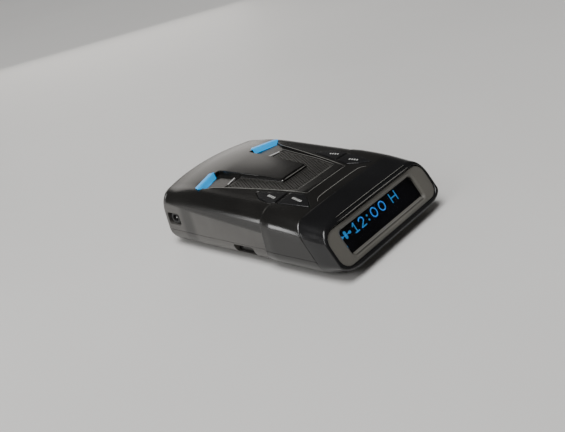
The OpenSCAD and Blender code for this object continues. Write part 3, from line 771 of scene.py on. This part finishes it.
jack_low, jack_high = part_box("power_jack")
JACK_Y = (jack_low[1] + jack_high[1]) / 2 / MM
usb_low, usb_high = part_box("usb_jack")
USB_Y = (usb_low[1] + usb_high[1]) / 2 / MM
carve(top, [box_cutter("jack_cut", BEHIND_COVER, RECESS_X, JACK_Y - JACK_RECESS[0], JACK_Y + JACK_RECESS[0],
                       JACK_Z - JACK_RECESS[1], JACK_Z + JACK_RECESS[1], 1.4)])
carve(bottom, [box_cutter("usb_cut", BEHIND_COVER, RECESS_X, USB_Y - USB_HALF_W, USB_Y + USB_HALF_W,
                          *USB_Z, 0.8)])
for sx in (1, -1):
    for x, y in SCREW_AT:
        pts = [(sx * x + SCREW_POCKET_R * math.cos(a), y + SCREW_POCKET_R * math.sin(a))
               for a in (2 * math.pi * k / 40 for k in range(40))]
        pocket = [[(px, py, z) for px, py in pts] for z in (-1, SCREW_POCKET_TOP)]
        carve(bottom, [raw("screw_cut", *loft(pocket))])
label_cut = rounded_rect(LABEL_SIZE[0] + LABEL_GAP, LABEL_SIZE[1] + LABEL_GAP, 1.0)
carve(bottom, [raw("label_cut", *loft([[(u, v + LABEL_Y, z) for u, v in label_cut] for z in (-1, 0.2)]))])
finished(top, CASE_BLACK, stands_for=["top_cover"])
finished(bottom, CASE_BLACK, stands_for=["bottom_cover"])

# nose cover: outside from the seam to the tip, then back inside
turns = [NOSE_SEAM + (math.pi / 2 - NOSE_SEAM) * k / 14 for k in range(1, 15)]


def shrunk(row, k):
    p = ring(row)
    out = p.copy()
    out[:, 0] *= k
    out[:, 1] = row[0] - NOSE_BOW * (p[:, 0] * k / row[1]) ** 2
    out[:, 2] = TIP_Z + (p[:, 2] - TIP_Z) * k
    return out


outside = nose_edge(NOSE_SEAM, 1)
outside += [nose_row(a) for a in turns if a > NOSE_SEAM + 0.6 / NOSE_R]
inside = [nose_row(a, WALL) for a in turns[::3]]
shares = (0.85, 0.7, 0.5, 0.3, 0.12)
nose_loops = ([shrunk(inside[-1], k) for k in reversed(shares)] + [ring(r) for r in reversed(inside)]
              + [ring((outside[0][0], outside[0][1] - WALL, outside[0][2] - TOP_WALL, 0,
                       outside[0][4] + WALL))]
              + [ring(r) for r in outside] + [shrunk(outside[-1], k) for k in shares])
nose = raw("nose_cover_shell", *loft(nose_loops))
slot_low, slot_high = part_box("bracket_socket")
slot_mid = (slot_low[2] + slot_high[2]) / 2 / MM
slot_pts = rounded_rect(*BRACKET_SLOT, 0.6, arc=4, flat=(4, 2))
carve(nose, [raw("slot_cut", *loft([[(u, y, slot_mid + v) for u, v in slot_pts] for y in (40, 60)]))])
finished(nose, NOSE_TINT, stands_for=["nose_window"])

# ---------------------------------------------------------------- collar and face

lip_rows = [inset_row(row_at(FACE_Y + 1.1 * (1 - math.cos(a))), 1.1 * (1 - math.sin(a)))
            for a in np.linspace(0, math.pi / 2, 8)]
body_rows = [row_at(y) for y in np.linspace(FACE_Y + 1.2, SEAM_Y - 0.8, 9)]
collar = raw("end_collar_shell", *loft([ring(r) for r in lip_rows + body_rows
                                        + edge_rows(SEAM_Y, -1)[::-1]]))
hollow_rows = [row_at(y) for y in np.linspace(FACE_Y + 3.8, SEAM_Y + 0.5, 6)]
carve(collar, [raw("hollow", *loft([ring((r[0], r[1] - WALL, r[2] - TOP_WALL, 0, r[4] + WALL))
                                    for r in hollow_rows]))])
recess = rounded_rect(69.3, 16.5, 5.65, 0.85)
mouth = [(0, -2.3), (0, -0.5), (0.08, -0.22), (0.22, -0.07), (0.4, 1.5)]
carve(collar, [raw("recess", *loft([on_face(grown(recess, d), h) for d, h in mouth]))])
behind = rounded_rect(66, 13.2, 4, 0.85)
carve(collar, [raw("behind", *loft([on_face(behind, h) for h in (-6.5, -1)]))])
finished(collar, COLLAR_BLACK, stands_for=["end_collar"])

# visor: a low ridge along the top of the face, with a painted highlight line on its crest and one on the
# collar's lip


def visor_v(base, u):
    """Height of a line up the face, which arches a little along the collar."""
    return base + 0.25 * math.cos(u / 26 * 1.2)


visor_path = [face_point(u, visor_v(9.95, u), 0.02) for u in np.linspace(-25, 26, 52)]
visor = raw("collar_visor", *tube(visor_path, lambda t: 0.2 + 0.42 * min(1, 12 * t, 12 * (1 - t)) ** 0.5,
                                  14))
finished(visor, COLLAR_BLACK, sharp=60)
for name, v, out_by in (("visor_highlight_low", 9.75, 0.58), ("visor_highlight_high", 11.45, -0.27)):
    path = [face_point(u, visor_v(v, u), out_by) for u in np.linspace(-24, 25.5, 50)]
    finished(raw(name, *tube(path, lambda t: 0.13 * min(1, 0.3 + 8 * t, 0.3 + 8 * (1 - t)), 10)),
             PAINTED_EDGE_HIGHLIGHT, sharp=60)

# face plate with its recessed window: rim, flat cheeks, then a chamfer and the wall of the opening
plate = rounded_rect(69, 16.2, 5.5, 0.85)
opening = rounded_rect(52.4, 11.4, 2, 0.8)
plate_loops = [on_face(plate, -2.2)]
plate_loops += [on_face(grown(plate, -0.25 * (1 - math.cos(a))), -0.85 + 0.25 * math.sin(a))
                for a in (0, 0.5, 1.0, math.pi / 2)]
plate_loops += [on_face(grown(opening, d), h) for d, h in
                ((1.15, -0.6), (1.0, -0.62), (0.35, -1.1), (0.2, -1.24), (0.0, -1.4), (0.0, -2.2))]
plate_loops.append(plate_loops[0])
finished(raw("face_plate", *loft(plate_loops, caps=False)), FACE_GREY, stands_for=["bezel_plate"],
         sharp=40)
# deep sill, which catches the light, and a fine light bead along the bottom of the opening, a painted
# highlight line
sill_loops = [[face_point(u, v, h) for v, h in ((-4.95, -1.0), (-4.95, -2.15), (-3.75, -2.15),
                                                (-3.95, -1.95), (-4.6, -1.2))]
              for u in np.linspace(-25.1, 25.1, 24)]
finished(raw("face_sill", *loft(sill_loops)), FACE_GREY, sharp=30)
finished(raw("window_edge_highlight", *tube([face_point(u, -4.62, -0.98) for u in np.linspace(-24.4, 24.4, 40)],
                                  0.13, 10)), PAINTED_EDGE_HIGHLIGHT, sharp=60)
pane = rounded_rect(56.4, 13, 2, 0.8)
finished(raw("window_pane", *face_slab(pane, -3.3, -2.25, 0.1)), WINDOW,
         stands_for=["display_window"])

# display glyphs: strokes of light just in front of the display panel
GLYPH_OUT = -3.38
GLYPH_T = 0.06


def stroke(points, width, closed=False):
    """A flat stroke with round ends along points on the face."""
    parts = []
    segments = list(zip(points, points[1:] + (points[:1] if closed else [])))
    if not closed:
        segments = segments[:len(points) - 1]
    for (x0, y0), (x1, y1) in segments:
        a0 = math.atan2(y1 - y0, x1 - x0)
        r = width / 2
        loop = [(x1 + r * math.cos(a0 + t), y1 + r * math.sin(a0 + t))
                for t in np.linspace(-math.pi / 2, math.pi / 2, 7)]
        loop += [(x0 + r * math.cos(a0 + t), y0 + r * math.sin(a0 + t))
                 for t in np.linspace(math.pi / 2, 3 * math.pi / 2, 7)]
        parts.append(loft([on_face(np.array(loop), GLYPH_OUT), on_face(np.array(loop), GLYPH_OUT + GLYPH_T)]))
    return parts


def arc_points(cx, cy, rx, ry, a0, a1, n=10):
    return [(cx + rx * math.cos(math.radians(a)), cy + ry * math.sin(math.radians(a)))
            for a in np.linspace(a0, a1, n)]


LOW_V, HIGH_V = 1.45, 5.35
MID_V = (LOW_V + HIGH_V) / 2
STROKE = 0.54
glyphs = []
glyphs += stroke([(-16.4, 4.3), (-15.3, HIGH_V), (-15.3, LOW_V)], STROKE)
glyphs += stroke([(-16.5, LOW_V), (-14.1, LOW_V)], STROKE)
two = arc_points(-10.6, 4.2, 1.45, 1.15, 170, -35) + [(-12.0, LOW_V), (-9.1, LOW_V)]
glyphs += stroke(two, STROKE)
for v in (2.2, 4.2):
    glyphs += stroke([(-6.45, v), (-6.35, v)], 0.85)
for cx in (-1.9, 3.9):
    glyphs += stroke(arc_points(cx, MID_V, 1.75, 1.95, 0, 340, 18), STROKE, closed=True)
glyphs += stroke([(10.6, LOW_V), (10.6, HIGH_V)], STROKE)
glyphs += stroke([(14.4, LOW_V), (14.4, HIGH_V)], STROKE)
glyphs += stroke([(10.6, MID_V), (14.4, MID_V)], STROKE)
# satellite icon: a body, two panels and a dot
glyphs += stroke([(-21.9, 2.4), (-21.9, 4.3)], 1.5)
glyphs += stroke([(-24.7, 3.3), (-24.2, 3.3)], 1.2)
glyphs += stroke([(-19.5, 3.3), (-19.0, 3.3)], 1.2)
glyphs += stroke([(-24.0, 3.3), (-19.8, 3.3)], 0.35)
glyphs += stroke([(-24.65, -0.7), (-24.55, -0.7)], 0.7)
finished(raw("display_glyphs", *joined(*glyphs)), GLYPH, weighted=False)

# ---------------------------------------------------------------- buttons


def button_surface(x, y):
    return top_z(x, y) + BUTTON_PROUD


def print_surface(x, y):
    return button_surface(x, y) + 0.03


def bar_print(origin, heading, bars):
    """Small printed bars in a row: origin is the row's middle and heading its direction."""
    ox, oy = origin
    ux, uy = math.cos(heading), math.sin(heading)
    parts = []
    for along, across, length, width in bars:
        pts = rounded_rect(length, width, min(length, width) * 0.3, arc=3, flat=(1, 1))
        loop = np.array([(ox + (along + a) * ux - (across + b) * uy,
                          oy + (along + a) * uy + (across + b) * ux) for a, b in pts])
        loops = [np.column_stack([loop, button_surface(loop[:, 0], loop[:, 1]) - 0.05]),
                 np.column_stack([loop, print_surface(loop[:, 0], loop[:, 1])])]
        parts.append(loft(loops))
    return joined(*parts)


def disc(cx, cy, r, z0, z1, n=28):
    loop = [(cx + r * math.cos(2 * math.pi * k / n), cy + r * math.sin(2 * math.pi * k / n))
            for k in range(n)]
    return loft([[(x, y, z) for x, y in loop] for z in (z0, z1)])


LONG_MARK = [(-2.4, 0, 0.5, 1.35), (-1.25, 0, 0.6, 1.35), (-0.05, 0, 0.5, 1.35), (1.1, 0, 0.6, 1.35),
             (2.25, 0, 0.5, 1.35)]
SHORT_MARK = [(-1.8, 0, 0.6, 1.35), (-0.6, 0, 0.55, 1.35), (0.6, 0, 0.6, 1.35), (1.8, 0, 0.5, 1.35)]
MARKS = {"front_left": SHORT_MARK, "rear_left": LONG_MARK, "front_right": SHORT_MARK,
         "rear_right": SHORT_MARK}
MARK_AT = {"front": ((22.1, -12), -1.37), "rear": ((20.05, -24.1), -1.38)}

for key, shape in button_outlines.items():
    row_name, side = key.split("_")
    node = "button_" + key
    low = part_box(node)[0]
    stem_x, stem_y = STEM_AT[row_name]
    cap = pillow(shape, button_surface, BUTTON_DEPTH, lip=0.3, step=1.1)
    stem = disc(stem_x if side == "right" else -stem_x, stem_y, STEM_R, low[2] / MM, STEM_TOP)
    piece = raw("key_" + key, *joined(cap, stem))
    finished(piece, BUTTON, body=key + "_button", stands_for=[node], sharp=40)
    (mx, my), heading = MARK_AT[row_name]
    if side == "left":
        mx, heading = -mx, math.pi - heading
    finished(raw("mark_" + key, *bar_print((mx, my), heading, MARKS[key])), PRINT,
             body=key + "_button", weighted=False)

# ---------------------------------------------------------------- grille

PITCH = 1.386
ROW_PITCH = 1.2
HOLE_R = 0.46
GRILLE_DROP = 0.2
GRILLE_T = 0.45
sheet = softened(around_hump([(20.45, 17.5), (16.1, -7), (12.95, -17.9)], 0.12), 0.35)


def inside_of(points, x, y):
    hit = False
    for (x1, y1), (x2, y2) in zip(points, np.roll(points, -1, 0)):
        if (y1 > y) != (y2 > y) and x < (x2 - x1) * (y - y1) / (y2 - y1) + x1:
            hit = not hit
    return hit


field = grown(sheet, -1.05)
along = np.array([math.cos(math.radians(60)), math.sin(math.radians(60))])
across = np.array([-along[1], along[0]])
holes = []
for i in range(-40, 41):
    for j in range(-40, 41):
        c = along * (i + 0.5 * (j % 2)) * PITCH + across * j * ROW_PITCH
        if abs(c[0]) < 22 and -19 < c[1] < 19 and inside_of(field, *c):
            holes.append(c)
SIDES = 10
coords, polys = [Vector(q) for q in sheet], [list(range(len(sheet)))]
for c in holes:
    base = len(coords)
    coords += [Vector((c[0] + HOLE_R * math.cos(2 * math.pi * k / SIDES),
                       c[1] + HOLE_R * math.sin(2 * math.pi * k / SIDES))) for k in range(SIDES)]
    polys.append(list(range(base, base + SIDES))[::-1])
result = delaunay_2d_cdt(coords, [], polys, 0, 1e-7)
flat_xy = np.array([tuple(v) for v in result[0]])
hole_set = np.array(holes)
flat_faces = []
for f in result[2]:
    mid = flat_xy[list(f)].mean(0)
    near = np.linalg.norm(hole_set - mid, axis=1).min()
    if near > HOLE_R * 0.93 and inside_of(sheet, *mid):
        flat_faces.append(tuple(f))
thick = []
for drop in (GRILLE_DROP, GRILLE_DROP + GRILLE_T):
    z = deck_z(flat_xy[:, 0], flat_xy[:, 1], drop)
    thick.append(np.column_stack([flat_xy, z]))
count = len(flat_xy)
verts = [tuple(v) for layer in thick for v in layer]
faces = flat_faces + [tuple(count + i for i in f[::-1]) for f in flat_faces]
edges = {}
for f in flat_faces:
    for a, b in zip(f, f[1:] + f[:1]):
        edges[(a, b)] = True
faces += [(b, a, count + a, count + b) for a, b in edges if (b, a) not in edges]
finished(raw("grille_sheet", verts, faces), GRILLE, stands_for=["speaker_grille"],
         weighted=False)

# strips across the two front ends of the grille: the ends are real edges, their near-white colour a painted
# highlight
for name, a, b in (("left", (-18.0, 17.7), (-11.9, 19.4)), ("right", (11.9, 19.4), (18.0, 17.7))):
    path = [(a[0] + (b[0] - a[0]) * t, a[1] + (b[1] - a[1]) * t,
             float(deck_z(0, a[1] + (b[1] - a[1]) * t)) + 0.1) for t in np.linspace(0, 1, 9)]
    finished(raw("grille_highlight_strip_" + name, *tube(path, 0.27, 10)), PAINTED_HIGHLIGHT_WHITE, sharp=60)

# ---------------------------------------------------------------- ridge and hump lip


def bead(name, points, radius, sink, material, height=None):
    """A fine raised line along the surface, thinner towards its ends; given a light material, as here, it is
    a painted highlight line.
    """
    path = []
    for (x0, y0), (x1, y1) in zip(points, points[1:]):
        n = max(2, math.ceil(math.hypot(x1 - x0, y1 - y0) / 0.8))
        path += [(x0 + (x1 - x0) * k / n, y0 + (y1 - y0) * k / n) for k in range(n)]
    path.append(points[-1])
    xs, ys = np.array(path).T
    zs = (top_z(xs, ys) if height is None else height(xs, ys)) - sink
    return finished(raw(name, *tube(list(zip(xs, ys, zs)),
                                    lambda t: radius * min(1, 0.3 + 5 * t, 0.3 + 5 * (1 - t)), 10)),
                    material, sharp=60)


# painted highlight lines: light beads along the ridge, the deck's edges and the grille's edges
bead("ridge_highlight_line", [(-17.2, -32.6), (-15.8, -31.3), (-14, -30.7), (-10, -30.5), (10, -30.5), (14, -30.7),
                    (15.8, -31.3), (17.2, -32.6)], 0.17, 0.02, PAINTED_EDGE_HIGHLIGHT)
for sx in (1, -1):
    side = [(sx * x, y) for x, y in DECK_SIDE[1:]]
    bead("deck_highlight_right" if sx > 0 else "deck_highlight_left", side, 0.13, 0.03, PAINTED_EDGE_HIGHLIGHT)
    side = [(sx * x, y) for x, y in ((20.95, 17.3), (16.6, -7.1), (13.3, -18.5))]
    bead("grille_highlight_right" if sx > 0 else "grille_highlight_left", side, 0.12, 0.02, PAINTED_EDGE_HIGHLIGHT,
         lambda x, y: deck_z(x, y))
bead("deck_highlight_rear", [(-13.4, -24.35), (13.4, -24.35)], 0.15, 0.03, PAINTED_EDGE_HIGHLIGHT)
bead("grille_highlight_rear", [(-13.2, -18.6), (13.2, -18.6)], 0.13, 0.02, PAINTED_EDGE_HIGHLIGHT,
     lambda x, y: deck_z(x, y))
lip_profile = [(-5.8, 26.0), (-6.95, 26.0), (-7.05, 26.62), (-6.9, 26.9), (-6.6, 27.0), (-5.8, 27.05)]
finished(raw("hump_lip", *loft([[(x, y, z) for y, z in lip_profile] for x in np.linspace(-8.1, 8.1, 12)])),
         CASE_BLACK, sharp=50)
# a light bead on the lip's top edge, a painted highlight line
bead("hump_lip_highlight", [(-7.2, -6.85), (-2, -6.9), (3, -6.9), (7.6, -6.85)], 0.2, 0.0, PAINTED_EDGE_HIGHLIGHT,
     lambda x, y: 26.93 + 0 * x)
# a small white stud at the hump's left rear corner, a painted highlight dot
finished(raw("hump_corner_highlight", *tube([(-8.35, -6.6, 26.75), (-8.35, -6.6, 26.95), (-8.3, -6.6, 27.1)],
                                       lambda t: 0.34 if t < 0.9 else 0.2, 12)),
         PAINTED_HIGHLIGHT_WHITE, sharp=60)

# ---------------------------------------------------------------- alert lenses

for side, sx in (("right", 1), ("left", -1)):
    foot = [(sx * x, y, LENS_Z) for x, y in LENS_FOOT]
    head = [(sx * x, y, z) for (x, y), z in zip(LENS_TOP, LENS_HIGH)]
    lens = raw("lens_" + side, *loft([foot, head]))
    bevel(lens, 0.45, 4, 20)
    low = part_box("alert_lens_" + side)[0]
    pipe = raw("pipe", *loft([[(u, v, z) for u, v in
                               rounded_rect(5, 3, 0.5, arc=3, flat=(2, 2)) + (sx * 21, 28)]
                              for z in (low[2] / MM, 26.6)]))
    carve(lens, [pipe], "UNION")
    finished(lens, LENS_BLUE, stands_for=["alert_lens_" + side], sharp=50)

# ---------------------------------------------------------------- sockets, screws and label

rings = []
for x, r in ((-33.86, 1.8), (-33.86, 2.25), (-34.05, 2.35), (-34.05, 1.75), (-30.5, 1.75), (-30.5, 1.8),
             (-33.86, 1.8)):
    rings.append([(x, JACK_Y + r * math.cos(t), JACK_Z + r * math.sin(t))
                  for t in (2 * math.pi * k / 32 for k in range(32))])
finished(raw("jack_barrel", *loft(rings, caps=False)), INNER)
finished(raw("jack_pin", *tube([(-24, JACK_Y, JACK_Z), (-33.2, JACK_Y, JACK_Z), (-33.5, JACK_Y, JACK_Z)],
                               lambda t: 0.55 if t < 0.9 else 0.35, 12)), STEEL)

label_outline = rounded_rect(*LABEL_SIZE, 0.9)
label = raw("blank_label", *loft([[(u, v + LABEL_Y, z) for u, v in grown(label_outline, -d)]
                                  for z, d in ((0.19, 0), (0.07, 0), (0.05, 0.05))]))
finished(label, LABEL, stands_for=["rating_label"])

# ---------------------------------------------------------------- floor, light and camera

FLOOR_MAT = shader("floor_pale", (0.74, 0.73, 0.71), 0.55, 0.05, 0.03, 90, 0.03, blotch=3)
floor = raw("floor", [(-4000, -4000, -0.05), (4000, -4000, -0.05), (4000, 4000, -0.05),
                      (-4000, 4000, -0.05)], [(0, 1, 2, 3)])
floor.data.materials.append(FLOOR_MAT)


def area_light(name, at, target, size, power, color=(1, 1, 1)):
    data = bpy.data.lights.new(name, "AREA")
    data.shape = "RECTANGLE"
    data.size, data.size_y = size
    data.energy = power
    data.color = color
    light = bpy.data.objects.new(name, data)
    bpy.context.collection.objects.link(light)
    light.location = at
    light.visible_camera = False
    light.rotation_euler = (Vector(target) - Vector(at)).to_track_quat("-Z", "Y").to_euler()
    return light


# the front card greys the front of the top, the shoulder card lights the rear left shoulder
area_light("overhead", (-0.3, -0.05, 0.95), (0, 0, 0), (0.5, 0.5), 3.5)
daylight = bpy.data.lights.new("daylight", "SUN")
daylight.energy = 1.9
daylight.angle = math.radians(40)
sky = bpy.data.objects.new("daylight", daylight)
bpy.context.collection.objects.link(sky)
sky.rotation_euler = Vector((0.3, 0.05, -0.95)).to_track_quat("-Z", "Y").to_euler()
area_light("front_card", (0.28, 0.50, 0.155), (0, 0.03, 0.025), (0.34, 0.28), 0.33, (1, 0.96, 0.91))
area_light("shoulder_card", (-0.335, 0.215, 0.095), (-0.035, -0.03, 0.018), (0.05, 0.11), 0.2)
area_light("left_fill", (-0.9, 0.1, 0.6), (0, 0, 0.01), (0.5, 0.5), 3)

world = bpy.data.worlds.new("studio")
bpy.context.scene.world = world
world.use_nodes = True
tree = world.node_tree
background = tree.nodes["Background"]
where = tree.nodes.new("ShaderNodeTexCoord")
split = tree.nodes.new("ShaderNodeSeparateXYZ")
height = tree.nodes.new("ShaderNodeValToRGB")
tree.links.new(where.outputs["Generated"], split.inputs["Vector"])
tree.links.new(split.outputs["Z"], height.inputs["Fac"])
tree.links.new(height.outputs["Color"], background.inputs["Color"])
# a pale horizon, soon dark above: the black top mirrors the sky, the side panels the floor
stops = height.color_ramp.elements
stops[0].position, stops[0].color = 0.0, (0.42, 0.41, 0.40, 1)
stops[1].position, stops[1].color = 0.5, (0.03, 0.03, 0.03, 1)
middle = stops.new(0.2)
middle.color = (0.10, 0.098, 0.095, 1)
background.inputs["Strength"].default_value = 1.0

CAM_AZ, CAM_EL, CAM_ROLL = (math.radians(a) for a in (-43.83, 24.9, -13.7))
back = Vector((math.sin(CAM_AZ) * math.cos(CAM_EL), -math.cos(CAM_AZ) * math.cos(CAM_EL),
               math.sin(CAM_EL)))
right = (-back).cross(Vector((0, 0, 1))).normalized()
down = (-back).cross(right)
cos_r, sin_r = math.cos(CAM_ROLL), math.sin(CAM_ROLL)
turned_right = right * cos_r - down * sin_r
turned_down = right * sin_r + down * cos_r
camera_data = bpy.data.cameras.new("camera")
camera_data.sensor_width = 36
camera_data.lens = 50.38
camera_data.clip_start = 0.01
camera = bpy.data.objects.new("camera", camera_data)
bpy.context.collection.objects.link(camera)
matrix = Matrix.Identity(4)
for i, axis in enumerate((turned_right, -turned_down, back)):
    for j in range(3):
        matrix[j][i] = axis[j]
matrix.translation = Vector((-0.22951, -0.23175, 0.15709))
camera.matrix_world = matrix
bpy.context.scene.camera = camera
